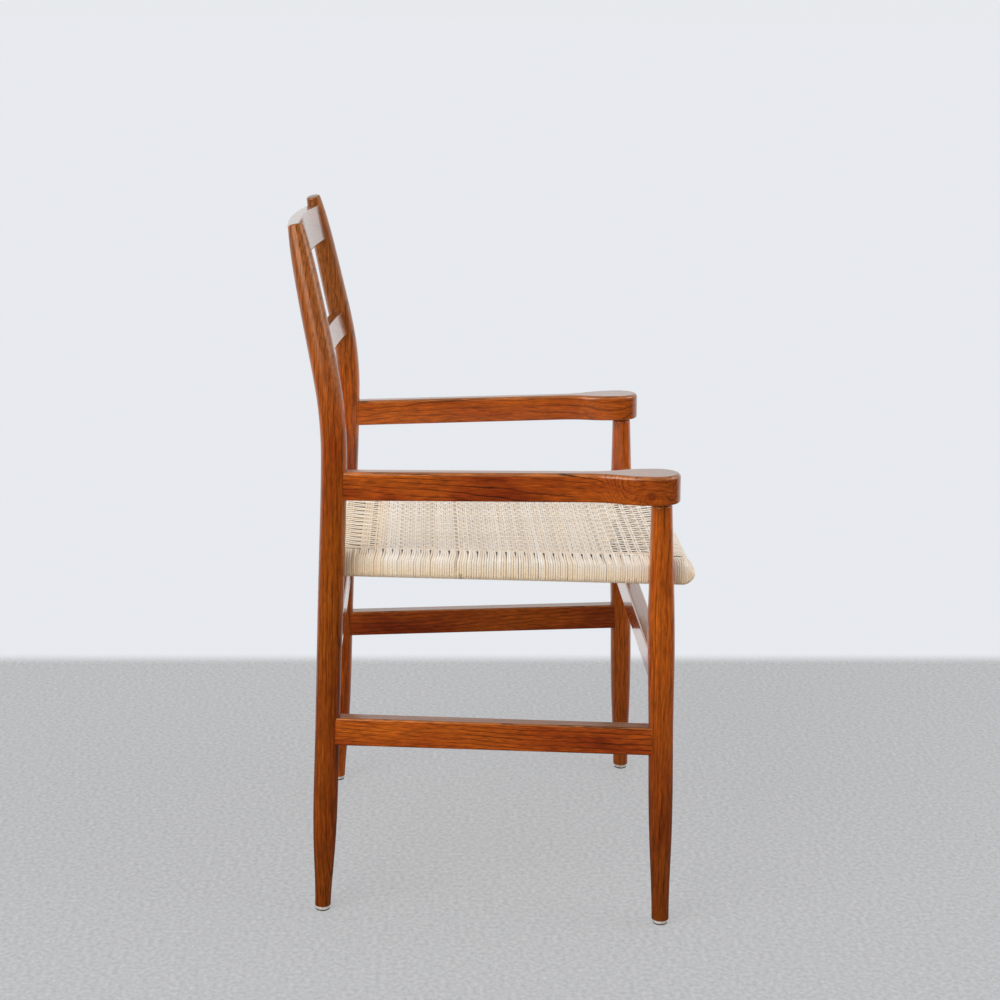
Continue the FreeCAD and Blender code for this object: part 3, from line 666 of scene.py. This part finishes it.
class Strands:
    """Collects strands into one mesh, with a tone and a flat map for each."""

    def __init__(self, name, replaces):
        self.name = name
        self.replaces = replaces
        self.points = []
        self.faces = []
        self.maps = []
        self.tones = []
        self.count = 0
        self.strips = 0

    def add(self, way, side, width, tone, painted_shade_tone=None, shaded=True):
        """Adds a strand.

        way holds its points, side the direction of its width and width its size, both for the whole
        strand or for each point. A plain tone, when given, is painted shade that stands in for the tone
        where the upper half is seen, and shaded paints shade on the lower half on the seat's top.
        """
        points = np.array(way)
        keep = np.ones(len(points), bool)
        keep[1:] = np.linalg.norm(np.diff(points, axis=0), axis=1) > SAME_PLACE
        points = points[keep]
        widths = np.broadcast_to(np.asarray(width, float), keep.shape)[keep][:, None, None]
        sides = np.broadcast_to(np.asarray(side, float), (len(keep), 3))[keep]
        step = unit(np.gradient(points, axis=0))
        face = unit(np.cross(step, sides))
        across = np.cross(face, step)
        rings = (
            points[:, None, :]
            + across[:, None, :] * (SECTION[None, :, 0:1] * widths)
            + face[:, None, :] * (SECTION[None, :, 1:2] * THICK)
        )
        self.points.append(rings.reshape(-1, 3))
        self.add_faces(points)
        self.tones.append(strand_shades(points, tone, painted_shade_tone, shaded))
        self.count += len(points) * SIDES
        self.strips += 1

    def add_faces(self, points):
        """Faces of a strand with the strand's number and the map of their corners."""
        rows = len(points)
        lengths = np.linalg.norm(np.diff(points, axis=0), axis=1)
        run = np.concatenate([[0.0], np.cumsum(lengths)])
        start = rng.random() * LONGEST_START
        for i in range(rows - 1):
            a = self.count + i * SIDES
            v0, v1 = run[i] + start, run[i + 1] + start
            w0, w1 = run[i] / run[-1], run[i + 1] / run[-1]
            for s in range(SIDES):
                n = (s + 1) % SIDES
                self.faces.append((a + s, a + n, a + SIDES + n, a + SIDES + s))
                u0, u1 = s / SIDES, (s + 1) / SIDES
                corners = ((u0, v0, w0), (u1, v0, w0), (u1, v1, w1), (u0, v1, w1))
                self.maps.append((self.strips, corners))
        first_cap = tuple(self.count + s for s in reversed(range(SIDES)))
        last_cap = tuple(self.count + (rows - 1) * SIDES + s for s in range(SIDES))
        for cap, end in ((first_cap, 0), (last_cap, -1)):
            self.faces.append(cap)
            corner = (0.5, run[end] + start, run[end] / run[-1])
            self.maps.append((self.strips, (corner,) * SIDES))

    def build(self, material):
        mesh = bpy.data.meshes.new(self.name)
        mesh.from_pydata(np.concatenate(self.points).tolist(), [], self.faces)
        own = mesh.attributes.new("strand", "FLOAT_COLOR", "POINT")
        own.data.foreach_set("color", np.concatenate(self.tones).ravel())
        flat = []
        packed = []
        for strip, corners in self.maps:
            for u, v, w in corners:
                flat += (u, v)
                packed += ((strip + MAP_EDGE + MAP_WIDTH * u) / self.strips, MAP_START + MAP_LENGTH * w)
        mesh.uv_layers.new(name="strand").data.foreach_set("uv", flat)
        mesh.uv_layers.new(name="OFBake").data.foreach_set("uv", packed)
        mesh.polygons.foreach_set("use_smooth", [len(face) == 4 for face in self.faces])
        mesh.materials.append(material)
        mesh.update()
        piece = bpy.data.objects.new(self.name, mesh)
        bpy.context.scene.collection.objects.link(piece)
        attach(piece, "root")
        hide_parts(*self.replaces)


# Tones of strands: the mean and spread of tone and warmth, and the share of brown ones
MEAN_TONE, TONE_SPREAD, LOWEST_TONE = 0.78, 0.20, 0.16
MEAN_WARMTH, WARMTH_SPREAD = 0.18, 0.22
BROWN_SHARE = 0.05
BROWN_TONES = (0.09, 0.25)


def strand_tone(dull=0.0, may_be_brown=True):
    """A tone, a warmth and a seed for one strand."""
    tone = min(1.0, max(LOWEST_TONE, rng.gauss(MEAN_TONE - dull, TONE_SPREAD)))
    if rng.random() < BROWN_SHARE and may_be_brown:
        tone = rng.uniform(*BROWN_TONES)
    warmth = min(1.0, max(0.0, rng.gauss(MEAN_WARMTH + dull, WARMTH_SPREAD)))
    return (tone, warmth, rng.random())


def end_heights(y):
    """Top and bottom lines of a strand round a side rail, nearer to each other at its rounded ends."""
    gap = min(REAR_END + RISE - y, y - FRONT_END + NOSE_OUT + RISE)
    drop = 0.0
    if gap < END_ROUND:
        drop = END_ROUND - math.sqrt(max(0.0, END_ROUND ** 2 - (END_ROUND - max(gap, 0.0)) ** 2))
    return TOP + RISE - drop, LOW - RISE + drop


def end_tilt(y):
    """Sine of the slope of the wrapping's top line, which only the rounded rail ends have."""
    front_gap = y - FRONT_END + NOSE_OUT + RISE
    rear_gap = REAR_END + RISE - y
    slope = max(0.0, 1 - min(front_gap, rear_gap) / END_ROUND)
    return slope if front_gap < rear_gap else -slope


def end_places(start, edge):
    """Places of turns from the last crossing strand round a rail's end, evenly spaced on its surface."""
    sign = 1 if edge > start else -1
    flat = abs(edge - start) - END_ROUND
    total = flat + END_ROUND * END_ARC
    count = round(total / PITCH)
    made = []
    for i in range(count):
        run = total * (i + 1) / count
        on_arc = END_ROUND * math.sin(max(0.0, run - flat) / END_ROUND)
        made.append(start + sign * (min(run, flat) + on_arc))
    return made


SIDE_SPREAD = 0.0030
SPREAD_RUN = 0.007


def spread(y):
    """How far a strand on a side face lies from its place in the weave."""
    return SIDE_SPREAD * math.sin(math.pi * (y - MIDDLE) / ((REAR_END - FRONT_END) / 2))


# Lengthwise bands: the same number in front and behind, so that they fan out with the rails
WIDER_GAPS = (21, 22, 23)
WIDER_GAP = 1.10
BAND_MARGIN = 0.0032
gaps = [WIDER_GAP if i in WIDER_GAPS else 1.0 for i in range(BANDS - 1)]
places = np.concatenate([[0.0], np.cumsum(gaps)])
BAND_SHARES = 2 * places / places[-1] - 1


def band_x(band, y):
    """Middle of a lengthwise band at a place along the chair."""
    return BAND_SHARES[band] * (rail_x(y) - HALF - BAND_MARGIN)


# Crosswise pairs, from the rear to the front: those behind lie close, and in front every second one
# starts at a slanting line or is left out
REAR_ROW = 0.1484
ROW_OFFSETS = (-1.5, -0.5, 0.5, 1.5)
PAIR_OFFSETS = (-0.5, 0.5)
FIRST_PAIR = 0.1340
PAIRS = 62
DENSE_PAIRS = 50
SHORT_LINE = -0.172
SHORT_SLOPE = 0.11
SHORT_LIMIT = 0.15
PULLS = (0.16, 0.34)
PARTNER_REACH = PAIR * 1.1


def crosswise_pairs():
    """Each pair's place, whether it goes over odd or even bands, where it starts, and its strands."""
    made = [dict(y=REAR_ROW, parity=1, start=None, offsets=ROW_OFFSETS)]
    for k in range(PAIRS):
        y = FIRST_PAIR - PAIR * k
        parity = k % 2
        start = None
        if k >= DENSE_PAIRS:
            parity = (k // 2 + k) % 2
            if k % 2 == 1:
                start = (SHORT_LINE - y) / SHORT_SLOPE
        if start is None or start < SHORT_LIMIT:
            made.append(dict(y=y, parity=parity, start=start, offsets=PAIR_OFFSETS))
    for k, pair in enumerate(made):
        partner = made[k + 1] if k % 2 == 1 and k + 1 < len(made) else made[k - 1]
        pair["pull"] = rng.uniform(*PULLS)
        pair["group"] = (pair["y"] + partner["y"]) / 2
        if abs(pair["y"] - partner["y"]) > PARTNER_REACH:
            pair["group"] = pair["y"]
    return made


crossings = crosswise_pairs()
FULL_TURN = 6.28

# Crosswise strands: how they wander, part at a crossing and draw together over the rails
CROSS_JITTER = 0.00010
CROSS_WIDTHS = (0.96, 1.02)
CROSS_WIDTH, SIDE_WIDTH_MORE = 0.91, 0.13
PARTING = 0.00035
WANDER = 0.00012
CROSS_WANDER_RATE, ALONG_WANDER_RATE = 21, 19
PULL_BELOW = 0.004
PULL_RUN = 0.016
TAIL_BELOW = 0.0055


def add_crosswise(strands, pair, offset):
    """One crosswise strand, from the right side rail or from its start to the left side rail."""
    y = pair["y"] - offset * PITCH + rng.uniform(-CROSS_JITTER, CROSS_JITTER)
    reach = rail_x(y)
    turn = wrap(SIDE_ROUND, *end_heights(y), False, SIDE_STEPS)
    right_turn = [(-(reach + out), z, 0.0) for out, z in turn]
    left_turn = [(reach + out, z, 0.0) for out, z in reversed(turn)]
    knots = [(-(reach - HALF + TUCK), 0.0)]
    for band in range(BANDS):
        over = (band + pair["parity"]) % 2 == 0
        knots.append((band_x(band, y), 1.0 if over else -1.0))
    knots.append((reach - HALF + TUCK, 0.0))
    if pair["start"] is not None:
        knots = [knot for knot in knots if knot[0] > pair["start"]]
        right_turn = []
    woven = [(x, weave_z(x, y) + OVER_X * rise, rise) for x, rise in wave(knots, CROSS_STEPS)]
    sign = 1 if offset > 0 else -1
    wander = rng.uniform(0, FULL_TURN)
    wide = rng.uniform(*CROSS_WIDTHS)
    way = []
    widths = []
    for x, z, rise in right_turn + woven[1:-1] + left_turn:
        inside = reach - abs(x)
        pull = 0.0
        if z > TOP - PULL_BELOW:
            on_rail = min((inside + HALF) / (2 * HALF), 1 - (inside - HALF) / PULL_RUN)
            pull = pair["pull"] * max(0.0, on_rail)
        shift = -sign * PARTING * rise + WANDER * math.sin(x * CROSS_WANDER_RATE + wander)
        edge = TOP + RISE if inside < 0 else TOP - TAIL_BELOW
        down = max(0.0, min(1.0, (edge - z) / SPREAD_RUN))
        shift += spread(y) * down
        widths.append(WIDTH * wide * (CROSS_WIDTH + SIDE_WIDTH_MORE * down))
        way.append((x, y + shift + (pair["group"] - y) * pull, z))
    strands.add(way, (0, 1, 0), widths, strand_tone())


front_cross = Strands("cane_across_front", ["woven_panel", "left_cane_wrap", "right_cane_wrap"])
rear_cross = Strands("cane_across_rear", ["woven_panel", "left_cane_wrap", "right_cane_wrap"])
for crossing in crossings:
    for strand_offset in crossing["offsets"]:
        add_crosswise(rear_cross if crossing["y"] > 0 else front_cross, crossing, strand_offset)

# Turns that only go round a side rail, where no strand crosses
SIDE_TURN_WIDTHS = (1.0, 1.04)
BROWN_FROM = -0.20


def side_turn_places(pairs):
    """Places of the turns on both side rails, and of those that only the right one has."""
    taken = sorted(pair["y"] - offset * PITCH for pair in pairs for offset in pair["offsets"])
    short = [pair for pair in pairs if pair["start"] is not None]
    right_only = [pair["y"] - offset * PITCH for pair in short for offset in pair["offsets"]]
    both = end_places(taken[0], FRONT_END - NOSE_OUT - RISE) + end_places(taken[-1], REAR_END + RISE)
    for a, b in zip(taken, taken[1:]):
        count = round((b - a) / PITCH) - 1
        both += [a + (b - a) * (i + 1) / (count + 1) for i in range(count)]
    return both, right_only


def add_side_turn(strands, y, sign):
    """One turn round a side rail; sign is -1 on the right and 1 on the left."""
    top, low = end_heights(y)
    slope = end_tilt(y)
    way = []
    leans = []
    for out, z in wrap(SIDE_ROUND, top, low, True, SIDE_STEPS):
        down = max(0.0, min(1.0, (top - z) / SPREAD_RUN))
        way.append((sign * (rail_x(y) + out), y + spread(y) * down, z))
        leans.append((0.0, math.sqrt(1 - slope ** 2), slope * (2 * z - top - low) / (top - low)))
    if sign > 0:
        way.reverse()
        leans.reverse()
    width = WIDTH * rng.uniform(*SIDE_TURN_WIDTHS)
    strands.add(way, leans, width, strand_tone(0.0, y > BROWN_FROM), shaded=False)


side_turns = Strands("cane_side_turns", ["left_cane_wrap", "right_cane_wrap"])
both_sides, right_side = side_turn_places(crossings)
for turn_y in both_sides + right_side:
    add_side_turn(side_turns, turn_y, -1)
for turn_y in both_sides:
    add_side_turn(side_turns, turn_y, 1)

# Lengthwise strands, round the rear rail, through the weave and round the front rail
ALONG_WIDTHS = (0.91, 0.97)
ALONG_GAP, ALONG_PARTING = 0.00142, 0.00020
ALONG_DULL = -0.04


def add_lengthwise(strands, band, sign):
    """One strand of a lengthwise band; its places count from the rear, so they are minus Y."""
    turn = wrap(NOSE_ROUND, TOP_LINE, LOW_LINE, False, NOSE_STEPS)
    rear_turn = [(-(REAR_RAIL + out), z, 0.0) for out, z in turn]
    front_turn = [(-(FRONT_RAIL - out), z, 0.0) for out, z in reversed(turn)]
    knots = [(-(REAR_RAIL - HALF + TUCK), 0.0)]
    for pair in crossings:
        if pair["start"] is None or band_x(band, pair["y"]) > pair["start"]:
            over = (band + pair["parity"]) % 2 == 0
            knots.append((-pair["y"], -1.0 if over else 1.0))
    knots.append((-(FRONT_RAIL + HALF - TUCK), 0.0))
    woven = []
    for q, rise in wave(knots, ALONG_STEPS):
        woven.append((q, weave_z(band_x(band, -q), -q) + OVER_Y * rise, rise))
    wander = rng.uniform(0, FULL_TURN)
    way = []
    for q, z, rise in rear_turn + woven[1:-1] + front_turn:
        half_gap = ALONG_GAP + ALONG_PARTING * rise
        shift = sign * half_gap + WANDER * math.sin(q * ALONG_WANDER_RATE + wander)
        way.append((band_x(band, -q) + shift, -q, z))
    strands.add(way, (1, 0, 0), WIDTH * rng.uniform(*ALONG_WIDTHS), strand_tone(ALONG_DULL, False))


along = Strands("cane_along", ["woven_panel", "front_cane_wrap", "rear_cane_wrap"])
for band_number in range(BANDS):
    for strand_side in (-1, 1):
        add_lengthwise(along, band_number, strand_side)

# Turns between the lengthwise bands on the front and rear rails
END_TURN_WIDTHS = (0.94, 1.0)
END_TURN_DULL = 0.04
END_TURN_PLACES = (0.25, 0.75)


def add_end_turns(strands, rail_y, sign, band):
    """Two turns round the rear or front rail, between a band and the next one."""
    start = band_x(band, rail_y) + PITCH
    room = band_x(band + 1, rail_y) - PITCH - start
    for share in END_TURN_PLACES:
        x = start + room * share
        way = []
        for out, z in wrap(NOSE_ROUND, TOP_LINE, LOW_LINE, True, NOSE_STEPS):
            y = rail_y + sign * out
            way.append((x * (rail_x(y) / rail_x(rail_y)), y, z))
        if sign < 0:
            way.reverse()
        width = min(WIDTH, room / 2) * rng.uniform(*END_TURN_WIDTHS)
        strands.add(way, (1, 0, 0), width, strand_tone(END_TURN_DULL))


end_turns = Strands("cane_end_turns", ["front_cane_wrap", "rear_cane_wrap"])
for end_rail, outwards in ((REAR_RAIL, 1), (FRONT_RAIL, -1)):
    for band_number in range(BANDS - 1):
        add_end_turns(end_turns, end_rail, outwards, band_number)

# Plain layer of cane under the weave, which closes the seat from below. Its upper half is painted in
# shade, darkest where it is seen through the close weave, and paler under the open rows in front
UNDER_GAP = 0.0002
UNDER_STEPS = 12
UNDER_JITTER = 0.0001
UNDER_WIDTHS = (0.96, 1.0)
UNDER_DULL = 0.1
# The tones below are painted shade on the top of the lower layer, which pales towards the front
UNDER_TONE, UNDER_TONE_RATE, UNDER_TONE_FROM, UNDER_TONE_MOST = 0.02, 4.0, 0.170, 0.20
UNDER_OVERLAP = 0.6


def add_under(strands, y):
    """One strand of the lower layer."""
    reach = rail_x(y) - HALF - SLEEVE * UNDER_OVERLAP
    way = []
    for step in range(UNDER_STEPS + 1):
        x = reach * (step / (UNDER_STEPS / 2) - 1)
        way.append((x, y, panel_z(x, y) - UNDER + rng.uniform(-UNDER_JITTER, UNDER_JITTER)))
    tone = max(0.0, min(UNDER_TONE_MOST, UNDER_TONE - UNDER_TONE_RATE * (y + UNDER_TONE_FROM)))
    strands.add(way, (0, 1, 0), WIDTH * rng.uniform(*UNDER_WIDTHS), strand_tone(UNDER_DULL), tone)


under = Strands("cane_under", ["woven_panel"])
under_front = FRONT_RAIL + HALF + UNDER_GAP
under_rear = REAR_RAIL - HALF - UNDER_GAP
under_count = int((under_rear - under_front) / PITCH)
for row in range(under_count):
    add_under(under, under_front + (under_rear - under_front) * (row + 0.5) / under_count)

cane = cane_material("cane")
for collected in (front_cross, rear_cross, side_turns, along, end_turns, under):
    collected.build(cane)


# Stage: pale floor, soft light and the photograph's camera

FLOOR_HALF = 400.0
FLOOR_SPECKS = 160.0
FLOOR_ROUGH = 0.8
FLOOR_GREYS = [(0.35, grey(0.40)), (0.65, grey(0.46))]
FLOOR_SEEN = [(0.3, (0.46, 0.465, 0.48)), (0.7, (0.63, 0.635, 0.65))]
FLOOR_SEEN_SHARE = 0.65
FLOOR_DIM = (0.06, 0.06, 0.06, 1.0)
WALL_LIGHT = (0.82, 0.82, 0.82, 1.0)
WALL_SEEN = (0.80, 0.82, 0.855, 1.0)
WALL_FROM, WALL_TO = 0.735, 0.80
MIRROR_FROM, MIRROR_TO = 0.10, 0.55


def floor_material(name):
    """Speckled grey floor, which takes on the wall's colour far behind the chair.

    The camera sees part of it with its own even light, so that it is as pale as in the photograph.
    Mirrored in the lacquer, the floor on the near side is dim.
    """
    t = Tree(bpy.data.materials.new(name))
    where = t.object_place()
    away = t.axes(where)[X]
    speck = t.noise(where, FLOOR_SPECKS, 3.0, 0.6)
    ray = t.node("ShaderNodeLightPath").outputs
    lit = t.principled(t.ramp(speck, FLOOR_GREYS), FLOOR_ROUGH)
    seen_share = t.math("MULTIPLY", ray["Is Camera Ray"], FLOOR_SEEN_SHARE)
    near_floor = t.either(seen_share, lit, t.glow(t.ramp(speck, FLOOR_SEEN)))
    wall = t.glow(t.mix(ray["Is Camera Ray"], WALL_LIGHT, WALL_SEEN))
    straight = t.math("MAXIMUM", ray["Is Camera Ray"], ray["Is Glossy Ray"])
    wall_share = t.math("MULTIPLY", t.span(away, WALL_FROM, WALL_TO, smooth=True), straight)
    whole = t.either(wall_share, near_floor, wall)
    dim_side = t.span(away, MIRROR_FROM, MIRROR_TO, 1.0, 0.0, smooth=True)
    dim_share = t.math("MULTIPLY", dim_side, ray["Is Glossy Ray"])
    return t.finish(t.either(dim_share, whole, t.glow(FLOOR_DIM)))


floor_mesh = bpy.data.meshes.new("floor")
floor_corners = [
    (-FLOOR_HALF, -FLOOR_HALF, 0), (FLOOR_HALF, -FLOOR_HALF, 0),
    (FLOOR_HALF, FLOOR_HALF, 0), (-FLOOR_HALF, FLOOR_HALF, 0),
]
floor_mesh.from_pydata(floor_corners, [], [(0, 1, 2, 3)])
floor_mesh.materials.append(floor_material("floor"))
floor = bpy.data.objects.new("floor", floor_mesh)
bpy.context.scene.collection.objects.link(floor)

BACKDROP = (0.80, 0.82, 0.85, 1.0)
CEILING_LIGHT, CEILING_MIRRORED = 0.58, 0.36
CEILING_FROM, CEILING_FULL = 0.35, 0.9

# From and to which direction the walls turn from dim to bright, and both brightnesses
WALLS = (-0.8, 0.5, 0.58, 1.0)
WALLS_MIRRORED = (-0.7, 0.3, 0.16, 0.88)


def studio_world(name):
    """A room whose side behind the camera is dim, whose far side is bright and whose ceiling is between.

    The lacquer mirrors the same room with more contrast, and the camera sees a plain backdrop.
    """
    t = Tree(bpy.data.worlds.new(name), "ShaderNodeOutputWorld")
    ray = t.node("ShaderNodeLightPath").outputs
    towards = t.axes(t.node("ShaderNodeTexCoord").outputs["Generated"])
    light_walls = t.span(towards[X], *WALLS, smooth=True)
    mirrored_walls = t.span(towards[X], *WALLS_MIRRORED, smooth=True)
    walls = t.between(ray["Is Glossy Ray"], light_walls, mirrored_walls)
    ceiling = t.span(ray["Is Glossy Ray"], 0.0, 1.0, CEILING_LIGHT, CEILING_MIRRORED)
    above = t.span(towards[Z], CEILING_FROM, CEILING_FULL, smooth=True)
    room = t.glow(t.between(above, walls, ceiling), "ShaderNodeBackground")
    backdrop = t.glow(BACKDROP, "ShaderNodeBackground")
    return t.finish(t.either(ray["Is Camera Ray"], room, backdrop))


bpy.context.scene.world = studio_world("studio")


def soft_lamp(name, place, aim, size, power):
    """A large square lamp turned towards a point."""
    data = bpy.data.lights.new(name, "AREA")
    data.shape = "SQUARE"
    data.size = size
    data.energy = power
    lamp = bpy.data.objects.new(name, data)
    lamp.location = place
    lamp.rotation_euler = (Vector(aim) - Vector(place)).to_track_quat("-Z", "Y").to_euler()
    bpy.context.scene.collection.objects.link(lamp)


soft_lamp("key", place=(-2.5, 2.2, 2.2), aim=(0.0, 0.0, 0.45), size=2.8, power=92.0)
soft_lamp("front", place=(-0.6, -3.0, 2.4), aim=(0.0, 0.0, 0.6), size=2.0, power=36.0)

# The camera that was solved from the photograph: angles, place and focal length in pixels
YAW, PITCH_DOWN, ROLL = -0.0383, 0.2416, 0.0122
CAMERA_PLACE = (-2.4898, 0.072878, 1.0878)
FOCAL_PIXELS, PICTURE_PIXELS = 1966.455, 1000.0
SENSOR = 36.0
ahead = Vector((math.cos(YAW), math.sin(YAW), 0.0))
forward = ahead * math.cos(PITCH_DOWN) - Vector((0, 0, math.sin(PITCH_DOWN)))
level_right = Vector((math.sin(YAW), -math.cos(YAW), 0.0))
level_up = Vector((0, 0, math.cos(PITCH_DOWN))) + ahead * math.sin(PITCH_DOWN)
camera_right = level_right * math.cos(ROLL) + level_up * math.sin(ROLL)
camera_up = level_up * math.cos(ROLL) - level_right * math.sin(ROLL)
camera_turn = Matrix((camera_right, camera_up, -forward)).transposed().to_4x4()
camera_data = bpy.data.cameras.new("camera")
camera_data.sensor_width = SENSOR
camera_data.lens = SENSOR * FOCAL_PIXELS / PICTURE_PIXELS
camera = bpy.data.objects.new("camera", camera_data)
camera.matrix_world = Matrix.Translation(CAMERA_PLACE) @ camera_turn
bpy.context.scene.collection.objects.link(camera)
bpy.context.scene.camera = camera
bpy.context.scene.view_settings.view_transform = "Standard"
